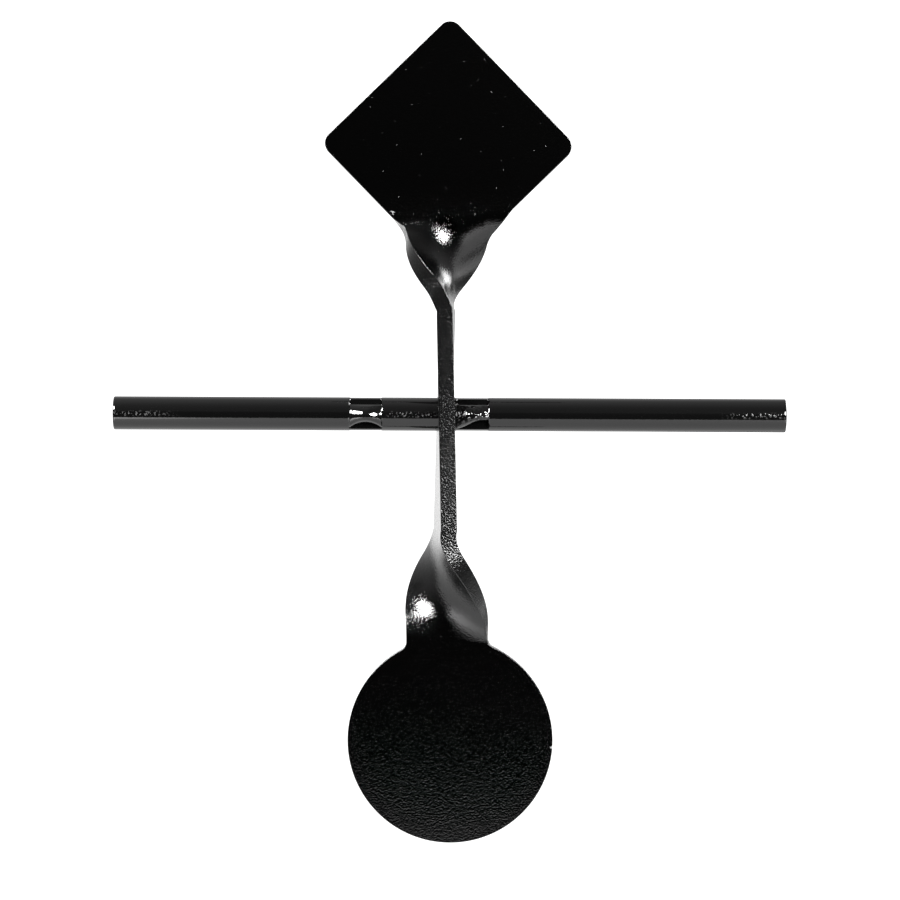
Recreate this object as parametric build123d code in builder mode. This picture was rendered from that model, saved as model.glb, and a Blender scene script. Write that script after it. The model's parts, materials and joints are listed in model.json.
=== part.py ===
# Spinner target: a twisted steel paddle that turns on a round crossbar between two pressed stops.
# X runs along the crossbar, Y from front to back, Z is up. The origin is the centre of the bar's left end.
from build123d import *
from math import cos, exp, pi, radians, sin, sqrt, tan
import os

# Driving dimensions, in millimetres and degrees
plate_thickness = 5.0
strap_width = 25.4
strap_rise = 32.2  # the strap runs up to here from the bar's axis
strap_drop = 35.8  # and down to here
strap_twist = 0.111  # slow turn of the strap, for each millimetre that it goes down
strap_square_height = 13.8  # above the bar's axis, where the strap stands square to the bar

diamond_side = 56.4
diamond_corner_radius = 4.0
disc_diameter = 63.5
disc_offset = 1.8  # centre of the disc beside the pivot, towards the bar's right end
disc_neck_offset = 0.8  # and of the neck that carries it

upper_neck_length = 24.1  # from the end of the strap to the diamond's edges
upper_neck_fillet = 5.0  # where the neck's edges run into the diamond's
upper_twist_overrun = 3.4  # the twist goes on this far into the diamond
upper_ease = (0.3, 0.1)  # shares of the twist over which its rate rises, next to the strap, and falls
upper_bow = 1.2  # the neck bulges towards the bar's left end
upper_bow_peak = 6.7  # most of all this far from the strap
lower_neck_length = 36.0  # from the end of the strap to the disc's edge
lower_neck_fillet = 3.0
lower_neck_flat = 2.7  # untwisted stretch at the disc's end of its neck
lower_ease = (0.27, 0.18)
lower_bow = 1.1
lower_bow_peak = 12.7

bar_diameter = 10.4
bar_clearance = 0.25  # between the bar and the hole in the strap, all round
left_plain_length = 73.0  # round stretch of the bar from its left end to the first stop
right_plain_length = 92.0
stop_length = 10.3
stop_web_width = 4.4  # front to back, where the press leaves upright flats above and below the ears
stop_web_height = 10.2
stop_ear_bite = 0.95  # each ear stands out this far past the edge of the strap's hole
stop_ear_height = 5.9
stop_ear_rise = 0.15  # middle of the ears above the bar's axis
paddle_travel = 17.1  # side play of the strap between the stops
rest_gap = 0.6  # between the strap and the right stop, where the paddle rests

strap_sections = 5  # level sections that shape the strap
neck_sections = 12  # each twisted neck
flare_sections = 9  # and the flare from the upper neck into the diamond

# Worked out from them
bar_radius = bar_diameter / 2
hole_radius = bar_radius + bar_clearance
strap_half = strap_width / 2
disc_radius = disc_diameter / 2
left_stop_start = left_plain_length
right_stop_start = left_stop_start + stop_length + paddle_travel + plate_thickness + rest_gap
bar_length = right_stop_start + stop_length + right_plain_length
pivot_x = right_stop_start - rest_gap - plate_thickness / 2

strap_top_turn = 90 - strap_twist * (strap_rise - strap_square_height)
strap_bottom_turn = 90 + strap_twist * (strap_drop + strap_square_height)
upper_twist_length = upper_neck_length + upper_twist_overrun
upper_twist_end = strap_rise + upper_twist_length
flare_corner = strap_rise + upper_neck_length  # where the diamond's lower edges leave the neck's
flare_tangent = upper_neck_fillet * tan(pi / 8)
flare_start = flare_corner - flare_tangent
diamond_foot = flare_corner - strap_half  # where those two edges would meet
diamond_rise = diamond_foot + diamond_side / sqrt(2)  # the diamond's centre
lower_twist_length = lower_neck_length - lower_neck_flat
lower_twist_end = -strap_drop - lower_twist_length
disc_drop = strap_drop + lower_neck_length + sqrt(disc_radius**2 - strap_half**2)  # the disc's centre


def twisted(u, ease):
    """How much of a twist is done at the fraction u of its length. Its rate rises and falls at the ends."""
    first, last = ease
    whole = 1 - first / 2 - last / 2
    if u < first:
        return u**2 / (2 * first) / whole
    if u > 1 - last:
        return 1 - (1 - u) ** 2 / (2 * last) / whole
    return (u - first / 2) / whole


def bowed(distance, length, bow, peak):
    """Bulge of a neck at a distance from the strap. It is gone where the twist ends."""
    return bow * distance / peak * exp(1 - distance / peak) * (1 - distance / length)


def level_plane(z, shift, turn):
    """A level plane across the blank, with its X along the blank's width. A turn of 0 is the diamond's."""
    across = (cos(radians(turn)), sin(radians(turn)), 0)
    return Plane(origin=(pivot_x + shift, 0, z), x_dir=across, z_dir=(0, 0, 1))


def front_plane(x, z):
    """An upright plane facing the front through the middle of the plate, with its centre at x and z."""
    return Plane(origin=(x, 0, z), x_dir=(1, 0, 0), z_dir=(0, -1, 0))


def strap_plane(z):
    """Plane of the strap, square to the bar a little above it and a few degrees off at each end."""
    return level_plane(z, 0, 90 - strap_twist * (z - strap_square_height))


def upper_plane(z):
    """Plane of the upper twist, from the diamond's turn of 0 to the strap's."""
    distance = z - strap_rise
    turn = strap_top_turn * (1 - twisted(distance / upper_twist_length, upper_ease))
    return level_plane(z, -bowed(distance, upper_twist_length, upper_bow, upper_bow_peak), turn)


def upper_width(z):
    """Width of the blank from the strap, through a concave fillet, to the diamond's lower edges."""
    if z <= flare_start:
        return strap_width
    if z <= flare_corner + flare_tangent * cos(pi / 4):
        return strap_width + 2 * (upper_neck_fillet - sqrt(upper_neck_fillet**2 - (z - flare_start) ** 2))
    return 2 * (z - diamond_foot)


def lower_plane(z):
    """Plane of the lower twist, which goes on the same way round to the disc's turn of 180."""
    distance = -strap_drop - z
    u = distance / lower_twist_length
    turn = strap_bottom_turn + (180 - strap_bottom_turn) * twisted(u, lower_ease)
    shift = disc_neck_offset * u - bowed(distance, lower_twist_length, lower_bow, lower_bow_peak)
    return level_plane(z, shift, turn)


def heights(first, last, sections):
    """Evenly spaced heights from first to last."""
    return [first + (last - first) * i / (sections - 1) for i in range(sections)]


# Paddle: one blank of plate, with the diamond and the disc each twisted a quarter turn from the strap
with BuildPart() as paddle:
    # Strap, edge on to the front
    for z in heights(-strap_drop, strap_rise, strap_sections):
        with BuildSketch(strap_plane(z)):
            Rectangle(strap_width, plate_thickness)
    loft()

    # Upper neck, then its flare into the diamond
    for z in heights(strap_rise, flare_start, neck_sections):
        with BuildSketch(upper_plane(z)):
            Rectangle(strap_width, plate_thickness)
    loft()
    for z in heights(flare_start, upper_twist_end, flare_sections):
        with BuildSketch(upper_plane(z)):
            Rectangle(upper_width(z), plate_thickness)
    loft()

    # Lower neck
    for z in heights(-strap_drop, lower_twist_end, neck_sections):
        with BuildSketch(lower_plane(z)):
            Rectangle(strap_width, plate_thickness)
    loft()

    # Diamond, flat above its twist
    with BuildSketch(front_plane(pivot_x, diamond_rise)) as diamond:
        Rectangle(diamond_side, diamond_side, rotation=45)
        fillet(diamond.vertices(), diamond_corner_radius)
        with Locations((0, upper_twist_end - diamond_rise)):
            Rectangle(2 * diamond_side, 2 * diamond_side, align=(Align.CENTER, Align.MAX), mode=Mode.SUBTRACT)
    extrude(amount=plate_thickness / 2, both=True)

    # Disc, flat with the end of its neck
    with BuildSketch(front_plane(pivot_x + disc_neck_offset, lower_twist_end)) as disc:
        Rectangle(strap_width, lower_twist_end + disc_drop, align=(Align.CENTER, Align.MAX))
        with Locations((disc_offset - disc_neck_offset, -disc_drop - lower_twist_end)):
            Circle(disc_radius)
        shoulders = disc.vertices().sort_by(Axis.Y)[-4:-2]
        fillet(shoulders, lower_neck_fillet)
    extrude(amount=plate_thickness / 2, both=True)

    # Hole for the bar
    with BuildSketch(Plane.YZ.offset(pivot_x)):
        Circle(hole_radius)
    extrude(amount=plate_thickness, both=True, mode=Mode.SUBTRACT)

# Crossbar: a solid rod with two stops pressed into it, one on each side of the strap
with BuildPart() as crossbar:
    with BuildSketch(Plane.YZ):
        Circle(bar_radius)
    extrude(amount=bar_length)

    for stop_start in (left_stop_start, right_stop_start):
        with BuildSketch(Plane.YZ.offset(stop_start)):
            Circle(bar_radius)
        extrude(amount=stop_length, mode=Mode.SUBTRACT)

        # Upright web that the press leaves, and the ears of metal squeezed out at the front and the back
        with BuildSketch(Plane.YZ.offset(stop_start)):
            Ellipse(bar_radius, stop_web_height / 2)
            Rectangle(stop_web_width, bar_diameter, mode=Mode.INTERSECT)
            with Locations((0, stop_ear_rise)):
                Ellipse(hole_radius + stop_ear_bite, stop_ear_height / 2)
        extrude(amount=stop_length)

os.makedirs("parts", exist_ok=True)
paddle.part.label = "paddle"
export_step(paddle.part, "parts/paddle.step")
crossbar.part.label = "crossbar"
export_step(crossbar.part, "parts/crossbar.step")
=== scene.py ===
import json
import math

import bmesh
import bpy
from mathutils import Matrix, Vector, noise


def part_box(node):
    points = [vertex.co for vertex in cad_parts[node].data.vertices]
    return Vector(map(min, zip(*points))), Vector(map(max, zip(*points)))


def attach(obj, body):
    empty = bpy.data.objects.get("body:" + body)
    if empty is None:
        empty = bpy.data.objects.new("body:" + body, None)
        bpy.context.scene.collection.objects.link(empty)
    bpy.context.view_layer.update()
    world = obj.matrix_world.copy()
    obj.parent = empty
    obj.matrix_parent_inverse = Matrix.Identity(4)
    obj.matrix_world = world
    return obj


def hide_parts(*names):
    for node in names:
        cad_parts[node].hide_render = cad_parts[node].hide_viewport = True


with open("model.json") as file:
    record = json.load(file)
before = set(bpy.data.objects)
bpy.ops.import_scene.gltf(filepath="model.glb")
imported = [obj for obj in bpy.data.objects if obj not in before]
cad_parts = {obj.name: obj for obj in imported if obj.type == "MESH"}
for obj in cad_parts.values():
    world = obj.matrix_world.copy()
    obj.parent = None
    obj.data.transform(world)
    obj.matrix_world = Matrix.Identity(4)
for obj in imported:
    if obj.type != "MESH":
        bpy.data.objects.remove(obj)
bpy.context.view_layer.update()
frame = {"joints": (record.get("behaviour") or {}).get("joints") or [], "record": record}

# Crossbar: one length of 10.4 mm round steel rod, sawn square at both ends and powder coated black.
# A press shears it down to an upright web in two places, and the metal squeezed out to the front and the
# back makes the ears of two stops, which keep the paddle where it belongs.
MM = 0.001
STOP_LENGTH = 10.3 * MM
WEB_HALF_WIDTH = 2.2 * MM  # the pressed flats above and below the ears are this far from the bar's middle
WEB_HALF_HEIGHT = 5.1 * MM
EAR_TOP = 3.2 * MM  # the ears start this far above the bar's axis
EAR_TIP_RISE = -0.8 * MM
EAR_FOOT = -4.45 * MM  # and end this far below it, where the press bit least
LEFT_BITE = 1.65 * MM  # the left stop's ears end this much higher in their middle
RIGHT_BITE = 2.4 * MM  # and the right stop's on the side away from the paddle
LEFT_ROUGHNESS = 0.04 * MM
RIGHT_ROUGHNESS = 0.3 * MM  # the press tore the metal of this stop
LUMP_SIZE = 1.1 * MM
LUMP_SPREAD = 0.6  # the lumps die out this far above and below an ear's middle, in radians round the rod
LUMP_MARGIN = 0.6 * MM  # and fade within this distance of a stop's ends
SHOULDER = 0.3 * MM  # draft of the press, from round rod to pressed web
STATION = 0.25 * MM  # spacing of the rings that carry the shape of a stop
STATION_MARGIN = 2 * MM  # the rings run on this far past a stop's ends
ROD_SIDES = 144
SAWN_EDGE = 0.4 * MM
RIM_ANGLE = 1.2  # faces that meet at more radians than this have a rim between them
CROWN_ANGLE = math.acos(WEB_HALF_WIDTH / WEB_HALF_HEIGHT)
LEDGE_ANGLE = math.radians(50)

mounts = {mount["name"]: mount for mount in frame["record"]["mounts"]}
pivot_x = frame["joints"][0]["pos_m"][0]
bar_low, bar_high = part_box("crossbar")
bar_length = bar_high.x - bar_low.x
bar_radius = mounts["bar_end_left"]["dims"]["r_mm"] * MM
ear_bulge = bar_high.y - bar_radius
left_stop = mounts["bar_end_left"]["dims"]["length_mm"] * MM
right_stop = bar_length - mounts["bar_end_right"]["dims"]["length_mm"] * MM - STOP_LENGTH


def ramp(low, high, x):
    """A soft step from 0 at low to 1 at high."""
    t = min(1, max(0, (x - low) / (high - low)))
    return t * t * (3 - 2 * t)


def left_arch(u):
    """Lower edge of the left stop's ears: the press bit deepest in the middle."""
    return EAR_FOOT + LEFT_BITE * math.sin(math.pi * u) ** 0.8


def right_arch(u):
    """Lower edge of the right stop's ears, which climbs away from the paddle and then runs level."""
    return EAR_FOOT + RIGHT_BITE * ramp(0, 0.85, u)


def pressed(angle, u, arch):
    """Distance to the front and height of a point of the rod in a stop, at the fraction u of its length.

    The angle is the point's own on the round rod, from the front."""
    reach = bar_radius + ear_bulge * math.sin(math.pi * u)
    crown = math.sqrt(1 - (WEB_HALF_WIDTH / bar_radius) ** 2) * WEB_HALF_HEIGHT
    ear_edge = EAR_TOP
    if angle < 0:
        crown = -crown
        ear_edge = arch(u)
    turn = abs(angle)
    if turn > CROWN_ANGLE:
        return bar_radius * math.cos(angle), WEB_HALF_HEIGHT * math.sin(angle)
    if turn > LEDGE_ANGLE:
        down = (CROWN_ANGLE - turn) / (CROWN_ANGLE - LEDGE_ANGLE)
        return WEB_HALF_WIDTH, crown + (ear_edge - crown) * down
    swing = turn / LEDGE_ANGLE * math.pi / 2
    front = WEB_HALF_WIDTH + (reach - WEB_HALF_WIDTH) * math.cos(swing)
    return front, EAR_TIP_RISE + (ear_edge - EAR_TIP_RISE) * math.sin(swing)


def press_stop(shape, start, arch, roughness):
    """Press one stop into the rod. roughness lifts and pits its ears, as torn metal under the coat."""
    for vertex in shape.verts:
        x = vertex.co.x - start
        if not 0 < x < STOP_LENGTH:
            continue
        side = -1 if vertex.co.y <= 0 else 1
        angle = math.atan2(vertex.co.z, abs(vertex.co.y))
        front, height = pressed(angle, x / STOP_LENGTH, arch)
        depth = ramp(0, SHOULDER, x) * ramp(STOP_LENGTH, STOP_LENGTH - SHOULDER, x)
        ear = math.exp(-((angle / LUMP_SPREAD) ** 2))
        lump = noise.fractal(Vector(vertex.co) / LUMP_SIZE, 0.6, 2.0, 3) * ear * roughness
        lump *= ramp(-STATION_MARGIN, LUMP_MARGIN, x)
        lump *= ramp(STOP_LENGTH + STATION_MARGIN, STOP_LENGTH - LUMP_MARGIN, x)
        spread = Vector((0, side * (front + lump), height)) - Vector((0, vertex.co.y, vertex.co.z))
        vertex.co += spread * depth


def make_rod():
    """The rod with its stops pressed. Rings carry their shape, and one near each end evens the shading."""
    shape = bmesh.new()
    bmesh.ops.create_cone(shape, cap_ends=True, segments=ROD_SIDES, radius1=bar_radius, radius2=bar_radius,
                          depth=bar_length)
    bmesh.ops.rotate(shape, verts=shape.verts, matrix=Matrix.Rotation(math.pi / 2, 3, "Y"))
    bmesh.ops.translate(shape, verts=shape.verts, vec=(bar_low.x + bar_length / 2, 0, 0))
    rims = [edge for edge in shape.edges if edge.calc_face_angle() > RIM_ANGLE]
    bmesh.ops.bevel(shape, geom=rims, offset=SAWN_EDGE, segments=3, profile=0.5, affect="EDGES", material=-1)
    places = [bar_low.x + 2 * SAWN_EDGE, bar_high.x - 2 * SAWN_EDGE]
    for start in (left_stop, right_stop):
        rings = round((STOP_LENGTH + 2 * STATION_MARGIN) / STATION)
        places += [start - STATION_MARGIN + ring * STATION for ring in range(rings + 1)]
    for place in places:
        bmesh.ops.bisect_plane(shape, geom=shape.verts[:] + shape.edges[:] + shape.faces[:],
                               plane_co=(place, 0, 0), plane_no=(1, 0, 0))
    press_stop(shape, left_stop, left_arch, LEFT_ROUGHNESS)
    press_stop(shape, right_stop, right_arch, RIGHT_ROUGHNESS)
    return shape


def finished_piece(name, shape, coat, sharp_angle):
    """A smooth-shaded piece from a bmesh, with its coat on it. Edges over sharp_angle degrees stay sharp."""
    bmesh.ops.recalc_face_normals(shape, faces=shape.faces)
    mesh = bpy.data.meshes.new(name)
    shape.to_mesh(mesh)
    shape.free()
    mesh.shade_smooth()
    mesh.set_sharp_from_angle(angle=math.radians(sharp_angle))
    mesh.materials.append(coat)
    piece = bpy.data.objects.new(name, mesh)
    bpy.context.scene.collection.objects.link(piece)
    return piece


class Wire:
    """An output of a shader node. Arithmetic on wires adds the Math nodes for it."""

    def __init__(self, finish, socket):
        self.finish = finish
        self.socket = socket

    def math(self, operation, *values):
        return self.finish.node("Math", {"operation": operation}, dict(enumerate(values)))

    def __add__(self, other):
        return self.math("ADD", self, other)

    def __radd__(self, other):
        return self.math("ADD", other, self)

    def __sub__(self, other):
        return self.math("SUBTRACT", self, other)

    def __rsub__(self, other):
        return self.math("SUBTRACT", other, self)

    def __mul__(self, other):
        return self.math("MULTIPLY", self, other)

    def __rmul__(self, other):
        return self.math("MULTIPLY", other, self)

    def step(self, low, high):
        """A soft step from 0 at low to 1 at high."""
        return self.finish.node("MapRange", {"interpolation_type": "SMOOTHSTEP"},
                                {"Value": self, "From Min": low, "From Max": high})


class Finish:
    """A node tree that is being wired up."""

    def __init__(self, tree):
        self.tree = tree

    def feed(self, node, sockets):
        """Link a node's sockets to wires, or fill them with values."""
        for name, value in sockets.items():
            if isinstance(value, Wire):
                self.tree.links.new(value.socket, node.inputs[name])
            else:
                node.inputs[name].default_value = value

    def node(self, kind, settings=None, sockets=None, output=0):
        """Add a node, set it up, feed its sockets, and return one of its outputs."""
        made = self.tree.nodes.new("ShaderNode" + kind)
        for name, value in (settings or {}).items():
            setattr(made, name, value)
        self.feed(made, sockets or {})
        return Wire(self, made.outputs[output])

    def mix(self, share, first, second):
        """Colour that goes from first to second as share goes from 0 to 1."""
        return self.node("Mix", {"data_type": "RGBA"}, {0: share, 6: first, 7: second}, output=2)


def new_material(name):
    """A material with its node tree and its Principled shader, ready to be wired up."""
    material = bpy.data.materials.new(name)
    material.use_nodes = True
    finish = Finish(material.node_tree)
    return material, finish, material.node_tree.nodes["Principled BSDF"]


def grey(value):
    """A neutral colour."""
    return (value, value, value, 1)


def bar_coat():
    """Gloss black powder coat over drawn rod, with lighter specks in a line along the front: partly scuffs
    from handling, partly painted glints where the lamps catch the rough coat near the ends and between the
    stops.
    """
    material, finish, shader = new_material("bar_coat")
    place = finish.node("TexCoord", output="Object")
    x, y, z = (finish.node("SeparateXYZ", sockets={0: place}, output=axis) for axis in "XYZ")
    peel = finish.node("TexNoise", sockets={"Vector": place, "Scale": 1100, "Detail": 2})
    grain = finish.node("TexNoise", sockets={"Vector": place, "Scale": 3200, "Detail": 3})
    specks = finish.node("TexNoise", sockets={"Vector": place, "Scale": 1500, "Detail": 1}).step(0.56, 0.66)
    line = z.step(-1.3 * MM, -0.5 * MM) * (1 - z.step(0.1 * MM, 1 * MM)) * (1 - y.step(-4.5 * MM, -4 * MM))
    left_end = 1 - x.step(8 * MM, 22 * MM)
    right_end = x.step(186 * MM, 198 * MM)
    between_stops = x.step(84 * MM, 86 * MM) * (1 - x.step(98 * MM, 101 * MM))
    # Lighter colour on these specks: partly wear in the coat, partly painted glints of the lamps on its
    # rough spots.
    scuff_and_glint = line * (left_end + right_end + between_stops) * specks
    height = peel + grain * 0.1 + scuff_and_glint
    finish.feed(shader, {
        "Base Color": finish.mix(scuff_and_glint, grey(0.001), grey(0.03)),
        "Roughness": 0.04 + 0.04 * grain + 0.15 * scuff_and_glint,
        "Normal": finish.node("Bump", sockets={"Height": height, "Distance": 0.011 * MM, "Strength": 1}),
    })
    return material


crossbar = finished_piece("pressed_crossbar", make_rod(), bar_coat(), 50)
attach(crossbar, "crossbar")
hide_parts("crossbar")

# Paddle: one blank of 5 mm steel plate, a diamond and a disc joined by a 25.4 mm strap with a hole for the
# bar. Both ends are twisted a quarter turn from the strap in a vice, the same way round, and the whole is
# powder coated. The cut edges stay a little rougher than the rolled faces.
PLATE = 5 * MM
STRAP_WIDTH = 25.4 * MM
STRAP_RISE = 32.2 * MM  # the strap runs from here above the bar's axis
STRAP_DROP = 35.8 * MM  # to here below it
STRAP_TWIST = math.radians(0.111) / MM  # slow turn of the strap on its way down
STRAP_SQUARE = 13.8 * MM  # above the bar's axis, where the strap stands square to the bar
DIAMOND_CORNER = 4 * MM
UPPER_NECK = 24.1 * MM
UPPER_FILLET = 5 * MM
UPPER_TWIST = 29 * MM
UPPER_EASE = (0.3, 0.22)  # shares of the twist over which its rate rises, next to the strap, and falls
UPPER_BOW = 1.2 * MM  # the neck bulges towards the bar's left end
UPPER_BOW_PEAK = 6.7 * MM  # most of all this far from the strap
UPPER_SLANT = 0.117  # rise, across the blank, of the line where the twist ends
DIAMOND_LEAN = math.radians(0.65)  # towards the bar's right end, from the neck up
LOWER_TWIST = 35 * MM
LOWER_EASE = (0.27, 0.25)
LOWER_SLANT = 0.11  # as the upper one: the twist ends sooner on the side that faces left
LOWER_BOW = 1.1 * MM
LOWER_BOW_PEAK = 12.7 * MM
LOWER_FILLET = 1.65 * MM  # cut back along the neck and the disc by this much
LOWER_NECK_SHIFT = 0.8 * MM
DISC_RADIUS = 31.75 * MM
DISC_SHIFT = 1 * MM  # the disc's centre is off the middle of its neck
DISC_STEPS = 120
CORNER_STEPS = 8
HOLE_RADIUS = bar_radius + 0.25 * MM
EDGE_RADIUS = 0.18 * MM  # of the coat over the plate's cut edges
COLUMNS = 32  # cells across the strap
COLUMN = STRAP_WIDTH / COLUMNS
HOLE_CELL = 10 * COLUMN  # the cells this near to the bar's axis make way for the hole
TWIST_CELL = 0.6 * MM  # height of the cells where the blank is twisted
STRAP_CELL = 2.5 * MM  # and where it is straight
CUT_SNAP = 0.15 * MM  # a cut that passes a corner by less goes through it
NUDGE = 1.5 * MM  # each way from a point, to find how the twisted sheet runs there
SAME_SPOT = 0.02 * MM

paddle_low, paddle_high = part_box("paddle")
diamond_half = (paddle_high.x - paddle_low.x) / 2 + DIAMOND_CORNER * (math.sqrt(2) - 1)
diamond_rise = paddle_high.z - (paddle_high.x - paddle_low.x) / 2
neck_top = STRAP_RISE + UPPER_NECK
disc_drop = -paddle_low.z - DISC_RADIUS
strap_half = STRAP_WIDTH / 2


def disc_shoulder(across):
    """Height where the line at that distance across the blank meets the disc."""
    return -disc_drop + math.sqrt(DISC_RADIUS ** 2 - (across + DISC_SHIFT) ** 2)


def flat_blank():
    """The blank before it is twisted, as one flat face facing the front, with its corners rounded."""
    shoulders = [(strap_half, disc_shoulder(strap_half)), (-strap_half, disc_shoulder(-strap_half))]
    necks = [(strap_half, neck_top), (-strap_half, neck_top)]
    points = [(diamond_half, diamond_rise), (0, diamond_rise + diamond_half), (-diamond_half, diamond_rise)]

    shape = bmesh.new()
    right_shoulder, left_shoulder = (shape.verts.new((across, 0, height)) for across, height in shoulders)
    middle = Vector((-DISC_SHIFT, 0, -disc_drop))
    first = right_shoulder.co - middle
    last = left_shoulder.co - middle
    sweep = 2 * math.pi - (math.atan2(last.z, last.x) - math.atan2(first.z, first.x))
    bmesh.ops.spin(shape, geom=[right_shoulder], cent=middle, axis=(0, 1, 0), angle=sweep, steps=DISC_STEPS,
                   use_duplicate=False)
    corners = [shape.verts.new((across, 0, height)) for across, height in (necks[0], *points, necks[1])]
    chain = [right_shoulder, *corners, left_shoulder]
    for one, other in zip(chain, chain[1:]):
        shape.edges.new((one, other))
    bmesh.ops.remove_doubles(shape, verts=shape.verts, dist=SAME_SPOT / 2)
    bmesh.ops.contextual_create(shape, geom=shape.edges[:])

    upper_cut_back = UPPER_FILLET * math.tan(math.pi / 8)
    for cut_back, spots in ((DIAMOND_CORNER, points), (upper_cut_back, necks), (LOWER_FILLET, shoulders)):
        near = [vertex for vertex in shape.verts
                if any((vertex.co - Vector((a, 0, h))).length < SAME_SPOT for a, h in spots)]
        bmesh.ops.bevel(shape, geom=near, offset=cut_back, segments=CORNER_STEPS, profile=0.5,
                        affect="VERTICES", material=-1)
    return shape


def cut(shape, place, normal, lowest=-1, highest=1):
    """Cut a straight line across the faces of the blank that lie between two heights."""
    faces = [face for face in shape.faces if lowest < face.calc_center_median().z < highest]
    edges = {edge for face in faces for edge in face.edges}
    verts = {vertex for face in faces for vertex in face.verts}
    bmesh.ops.bisect_plane(shape, geom=faces + list(edges) + list(verts), dist=CUT_SNAP,
                           plane_co=place, plane_no=normal)


def spaced(low, high, step):
    """Heights from low to high, as near step apart as comes out even."""
    count = max(1, round((high - low) / step))
    return [low + (high - low) * i / count for i in range(count + 1)]


def only_verts(geom):
    """The vertices among what an operator has made."""
    return [item for item in geom if isinstance(item, bmesh.types.BMVert)]


def flat_paddle():
    """The blank in its full thickness, cut finely where it is to be twisted, with the hole in the strap."""
    shape = flat_blank()
    upper_end = STRAP_RISE + UPPER_TWIST + UPPER_SLANT * STRAP_WIDTH
    lower_end = -STRAP_DROP - LOWER_TWIST
    levels = spaced(lower_end, -STRAP_DROP, TWIST_CELL) + spaced(STRAP_RISE, upper_end, TWIST_CELL)
    levels += spaced(-STRAP_DROP, -HOLE_CELL, STRAP_CELL)[1:]
    levels += spaced(HOLE_CELL, STRAP_RISE, STRAP_CELL)[:-1]
    levels += spaced(-HOLE_CELL, HOLE_CELL, COLUMN)[1:-1]
    for level in levels:
        cut(shape, (0, 0, level), (0, 0, 1))
    for column in range(1 - COLUMNS // 2, COLUMNS // 2):
        cut(shape, (column * COLUMN, 0, 0), (1, 0, 0), lower_end, upper_end)

    reach = HOLE_CELL + COLUMN / 2
    inside = [face for face in shape.faces
              if all(max(abs(vertex.co.x), abs(vertex.co.z)) < reach for vertex in face.verts)]
    bmesh.ops.delete(shape, geom=inside, context="FACES")
    square = [edge for edge in shape.edges
              if edge.is_boundary and all(max(abs(v.co.x), abs(v.co.z)) < reach for v in edge.verts)]
    for vertex in only_verts(bmesh.ops.extrude_edge_only(shape, edges=square)["geom"]):
        vertex.co = vertex.co.normalized() * HOLE_RADIUS

    front = only_verts(bmesh.ops.extrude_face_region(shape, geom=shape.faces[:])["geom"])
    bmesh.ops.translate(shape, verts=front, vec=(0, -PLATE, 0))
    bmesh.ops.translate(shape, verts=shape.verts, vec=(0, PLATE / 2, 0))
    bmesh.ops.recalc_face_normals(shape, faces=shape.faces)
    rims = [edge for edge in shape.edges if edge.calc_face_angle() > RIM_ANGLE]
    bmesh.ops.bevel(shape, geom=rims, offset=EDGE_RADIUS, segments=3, profile=0.5, affect="EDGES",
                    material=-1)

    cut_edge = shape.faces.layers.float.new("cut_edge")
    for face in shape.faces:
        on_neck = lower_end < face.calc_center_median().z < neck_top
        face[cut_edge] = float(on_neck and abs(face.normal.y) < 0.3)
    return shape


def twisted_share(u, ease):
    """How much of a twist is done at the fraction u of its length. Its rate rises and falls at the ends."""
    first, last = ease
    whole = 1 - first / 2 - last / 2
    if u < first:
        return u ** 2 / (2 * first) / whole
    if u > 1 - last:
        return 1 - (1 - u) ** 2 / (2 * last) / whole
    return (u - first / 2) / whole


def bowed(u, length, bow, peak):
    """Bulge of a neck towards the bar's left end at the fraction u of its length."""
    reach = u * length / peak
    return bow * reach * math.exp(1 - reach) * (1 - u)


def turn_and_shift(across, height):
    """Turn of the blank at a point of it, and how far its upright centre line has moved aside."""
    if height > STRAP_RISE:
        height -= UPPER_SLANT * across * min(1, (height - STRAP_RISE) / UPPER_TWIST)
    elif height < -STRAP_DROP:
        height -= LOWER_SLANT * across * min(1, (-STRAP_DROP - height) / LOWER_TWIST)
    level = min(STRAP_RISE, max(-STRAP_DROP, height))
    strap_turn = math.pi / 2 - STRAP_TWIST * (level - STRAP_SQUARE)
    if height > STRAP_RISE:
        u = min(1, (height - STRAP_RISE) / UPPER_TWIST)
        turn = strap_turn * (1 - twisted_share(u, UPPER_EASE))
        return turn, -bowed(u, UPPER_TWIST, UPPER_BOW, UPPER_BOW_PEAK)
    if height < -STRAP_DROP:
        u = min(1, (-STRAP_DROP - height) / LOWER_TWIST)
        turn = strap_turn + (math.pi - strap_turn) * twisted_share(u, LOWER_EASE)
        return turn, LOWER_NECK_SHIFT * u - bowed(u, LOWER_TWIST, LOWER_BOW, LOWER_BOW_PEAK)
    return strap_turn, 0


def on_sheet(across, height):
    """Point of the twisted sheet's middle surface."""
    turn, shift = turn_and_shift(across, height)
    point = Vector((pivot_x + shift + across * math.cos(turn), across * math.sin(turn), height))
    lean = DIAMOND_LEAN * ramp(neck_top - strap_half, neck_top, height)
    foot = Vector((pivot_x, 0, neck_top - strap_half))
    return foot + Matrix.Rotation(lean, 3, "Y") @ (point - foot)


def twist(shape):
    """Twist the flat paddle, keeping its thickness square to the sheet as a stiff plate does."""
    for vertex in shape.verts:
        across, depth, height = vertex.co
        run = on_sheet(across + NUDGE, height) - on_sheet(across - NUDGE, height)
        climb = on_sheet(across, height + NUDGE) - on_sheet(across, height - NUDGE)
        vertex.co = on_sheet(across, height) + climb.cross(run).normalized() * depth


CHIPS = [  # middle and radius of each
    (Vector((86.2 * MM, -PLATE / 2, 62.4 * MM)), 0.45 * MM),  # on the diamond's lower left edge
    (Vector((136.3 * MM, -PLATE / 2, -103 * MM)), 0.35 * MM),  # on the disc's right edge
]
CHIP_RAGGEDNESS = 2.2 * MM
DIAMOND_SMOOTHING = (60 * MM, 72 * MM)  # over these heights the peel gets as shallow as it is on the diamond


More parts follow.
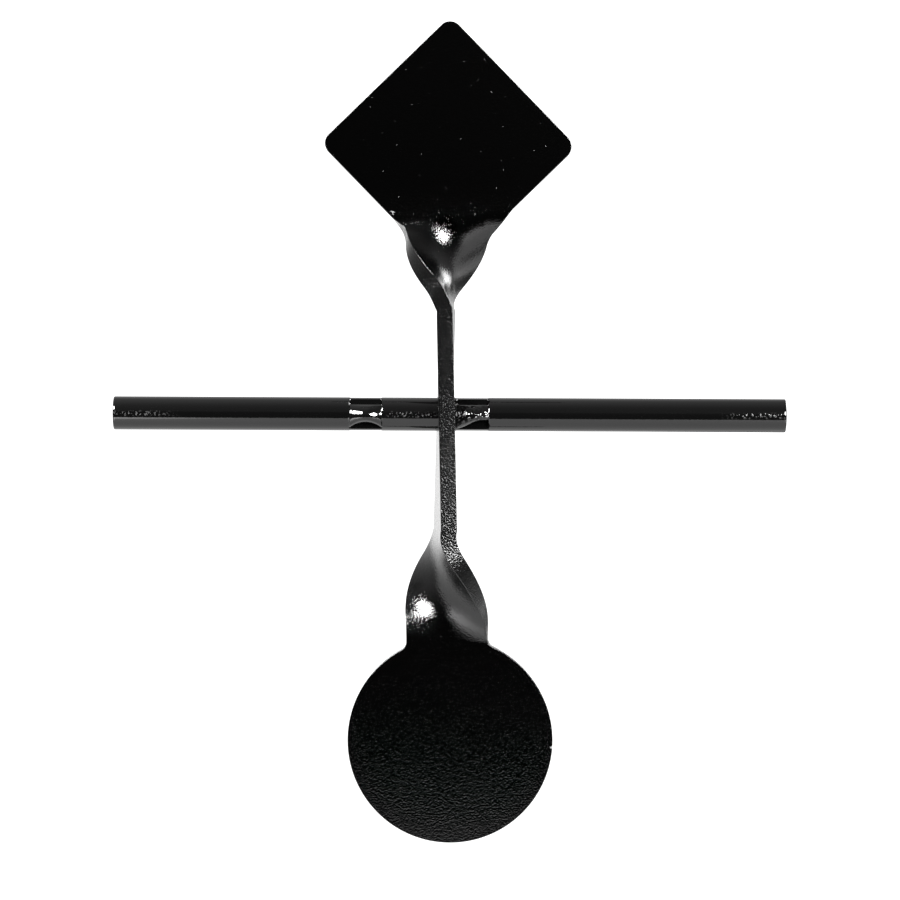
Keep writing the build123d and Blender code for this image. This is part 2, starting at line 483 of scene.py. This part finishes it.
def paddle_coat():
    """Gloss black powder coat with a deep orange peel, dust nibs, dull cut edges and two bare chips."""
    material, finish, shader = new_material("paddle_coat")
    place = finish.node("TexCoord", output="Object")
    z = finish.node("SeparateXYZ", sockets={0: place}, output="Z")
    cut_edge = finish.node("Attribute", {"attribute_name": "cut_edge"}, output="Fac")
    peel = finish.node("TexNoise", sockets={"Vector": place, "Scale": 1900, "Detail": 2})
    grain = finish.node("TexNoise", sockets={"Vector": place, "Scale": 4500, "Detail": 3})
    nibs = 1 - finish.node("TexVoronoi", sockets={"Vector": place, "Scale": 380}).step(0.02, 0.07)
    upright = finish.node("Mapping", sockets={"Vector": place, "Scale": (0.2, 0.2, 1)})
    ridges = finish.node("TexNoise", sockets={"Vector": upright, "Scale": 6500, "Detail": 1})
    chips = 0
    for spot, size in CHIPS:
        away = finish.node("VectorMath", {"operation": "DISTANCE"}, {0: place, 1: spot}, output="Value")
        ragged = away + (0.5 - peel) * CHIP_RAGGEDNESS
        chips = chips + (1 - ragged.step(0.8 * size, size))
    colour = finish.mix(nibs, grey(0.0001), grey(0.006))
    height = peel * (1 - 0.75 * z.step(*DIAMOND_SMOOTHING)) + grain * 0.04 + nibs * 0.2
    height = height + ridges * cut_edge * 0.22
    finish.feed(shader, {
        "Base Color": finish.mix(chips, colour, grey(0.14)),
        "Roughness": 0.06 + 0.04 * grain + 0.09 * cut_edge,
        "Normal": finish.node("Bump", sockets={"Height": height, "Distance": 0.085 * MM, "Strength": 1}),
    })
    return material


twisted = flat_paddle()
twist(twisted)
paddle = finished_piece("twisted_paddle", twisted, paddle_coat(), 60)
paddle.modifiers.new("even_shading", "WEIGHTED_NORMAL").keep_sharp = True
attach(paddle, "paddle")
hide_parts("paddle")

# Camera and lamps: the camera looks at the target square on, from a little below the bar and tilted a hair.
# Two round soft lamps stand in front, one at each side, and a faint third one stands behind to the right.
# They are small and far off, so the flat black faces between their reflections stay black.
FRAME_WIDTH = 279.2 * MM  # what the camera takes in at the target
CAMERA_DISTANCE = 1.1
CAMERA_ASIDE = 1.4 * MM
CAMERA_DROP = 11.05 * MM
CAMERA_ROLL = math.radians(-0.25)
LAMP_DISTANCE = 2

scene = bpy.context.scene
scene.view_settings.view_transform = "Standard"
subject = Vector((pivot_x, 0, 0))

camera_data = bpy.data.cameras.new("camera")
camera_data.lens = camera_data.sensor_width * CAMERA_DISTANCE / FRAME_WIDTH
camera_data.clip_end = 20
camera = bpy.data.objects.new("camera", camera_data)
scene.collection.objects.link(camera)
camera.location = subject + Vector((CAMERA_ASIDE, -CAMERA_DISTANCE, -CAMERA_DROP))
camera.rotation_euler = (math.pi / 2, CAMERA_ROLL, 0)
scene.camera = camera


def soft_lamp(name, direction, width, brightness):
    """A round lamp that faces the target from that direction.

    The width is its share of its distance, and the brightness is how bright it is to look at."""
    data = bpy.data.lights.new(name, "AREA")
    data.shape = "DISK"
    data.size = LAMP_DISTANCE * width
    area = math.pi * (data.size / 2) ** 2
    data.energy = brightness * math.pi * area
    lamp = bpy.data.objects.new(name, data)
    scene.collection.objects.link(lamp)
    toward = Vector(direction).normalized()
    lamp.location = subject + LAMP_DISTANCE * toward
    lamp.rotation_euler = toward.to_track_quat("Z", "Y").to_euler()
    lamp.visible_camera = False


soft_lamp("right_lamp", (0.42, -0.87, 0.28), 0.36, 90)
soft_lamp("left_lamp", (-0.45, -0.7, 0.53), 0.42, 90)
soft_lamp("right_rim_lamp", (0.72, 0.65, 0.25), 0.48, 8)

# Table: a plain white table top below the target, which ends a little way in front of it.
# It glows evenly, but for a brighter spot in front and to the left, which is there for the coat of the lower
# neck to mirror.
TABLE_DROP = 0.19
TABLE_FRONT = 0.33
TABLE_HALF_WIDTH = 2
TABLE_HALF_DEPTH = 1.5
TABLE_GLOW = 1.05
SPOT_GLOW = 6.05
SPOT_RADII = (0.01, 0.1)  # over which the spot fades
SPOT = (pivot_x - 0.17, -0.27, -TABLE_DROP)


def stage_sheet(name, shape, paint):
    """A flat thing of the studio from a bmesh, which is no part of the target."""
    mesh = bpy.data.meshes.new(name)
    shape.to_mesh(mesh)
    shape.free()
    mesh.materials.append(paint)
    sheet = bpy.data.objects.new(name, mesh)
    scene.collection.objects.link(sheet)
    return sheet


table_paint, finish, shader = new_material("table_white")
place = finish.node("TexCoord", output="Object")
from_spot = finish.node("VectorMath", {"operation": "DISTANCE"}, {0: place, 1: SPOT}, output="Value")
spot = 1 - from_spot.step(*SPOT_RADII)
finish.feed(shader, {
    "Base Color": grey(0.1),
    "Roughness": 0.35,
    "Emission Color": finish.mix(spot, grey(TABLE_GLOW / SPOT_GLOW), grey(1)),
    "Emission Strength": SPOT_GLOW,
})

table_shape = bmesh.new()
bmesh.ops.create_grid(table_shape, x_segments=1, y_segments=1, size=1)
bmesh.ops.scale(table_shape, verts=table_shape.verts, vec=(TABLE_HALF_WIDTH, TABLE_HALF_DEPTH, 1))
bmesh.ops.translate(table_shape, verts=table_shape.verts,
                    vec=(pivot_x, TABLE_HALF_DEPTH - TABLE_FRONT, -TABLE_DROP))
stage_sheet("white_table", table_shape, table_paint)

# Shade sheet: a black sheet laid on the table behind the target, to the right, as painted shade that stands
# in for the dark there. The camera itself doesn't see it. The coat mirrors it as the dark band along the
# upper neck.
SHADE_SHEET_RISE = 0.002  # above the table
SHADE_SHEET_CORNERS = ((0.24, 0.19), (1.7, 1.3), (0.08, 0.3), (0.7, 2.5))  # right of the paddle and behind it

# Black paint of the sheet that stands in for shade in the coat's reflection.
shade_sheet_paint, finish, shader = new_material("shade_stand_in_black")
finish.feed(shader, {"Base Color": grey(0.02), "Roughness": 0.9})
shade_sheet_shape = bmesh.new()
bmesh.ops.create_grid(shade_sheet_shape, x_segments=1, y_segments=1, size=0.5)
for corner, (aside, behind) in zip(shade_sheet_shape.verts, SHADE_SHEET_CORNERS):
    corner.co = Vector((pivot_x + aside, behind, SHADE_SHEET_RISE - TABLE_DROP))
shade_sheet = stage_sheet("shade_stand_in", shade_sheet_shape, shade_sheet_paint)
shade_sheet.visible_camera = False

# Room: a white backdrop for the camera, in a room that is dark in front and lighter behind and above.
# It has a light wall behind to the left. It is nearly black in a corner behind to the right, and dimmer
# overhead on that side, which is what the coat mirrors.
BACKDROP = 1.5
DARKEST = 0.9  # share of the light that the dark corner takes away

room = bpy.data.worlds.new("room")
room.use_nodes = True
scene.world = room
light = Finish(room.node_tree)
way = light.node("TexCoord", output="Generated")
right, behind, above = (light.node("SeparateXYZ", sockets={0: way}, output=axis) for axis in "XYZ")
dark_corner = (right - 0.27 * behind).step(0, 0.1) * (1.28 * behind - right).step(0, 0.1)
dark_corner = dark_corner * (1 - above.step(0.03, 0.15))
dark_ceiling = above.step(0.55, 0.8) * right.step(-0.05, 0.3)
left_wall = behind.step(0.5, 1) * (1 - right.step(-0.15, 0)) * (1 - above.step(0.02, 0.12))
glow = 0.015 + 0.1 * above.step(0.1, 0.3) + 0.4 * behind.step(-1, 0.1)
glow = glow + 0.3 * behind.step(0.1, 1.1) + 0.7 * left_wall
glow = glow * (1 - DARKEST * (dark_corner + 0.55 * dark_ceiling))
seen = light.node("LightPath", output="Is Camera Ray")
strength = glow * (1 - seen) + BACKDROP * seen
light.feed(room.node_tree.nodes["Background"], {"Strength": strength, "Color": grey(1)})
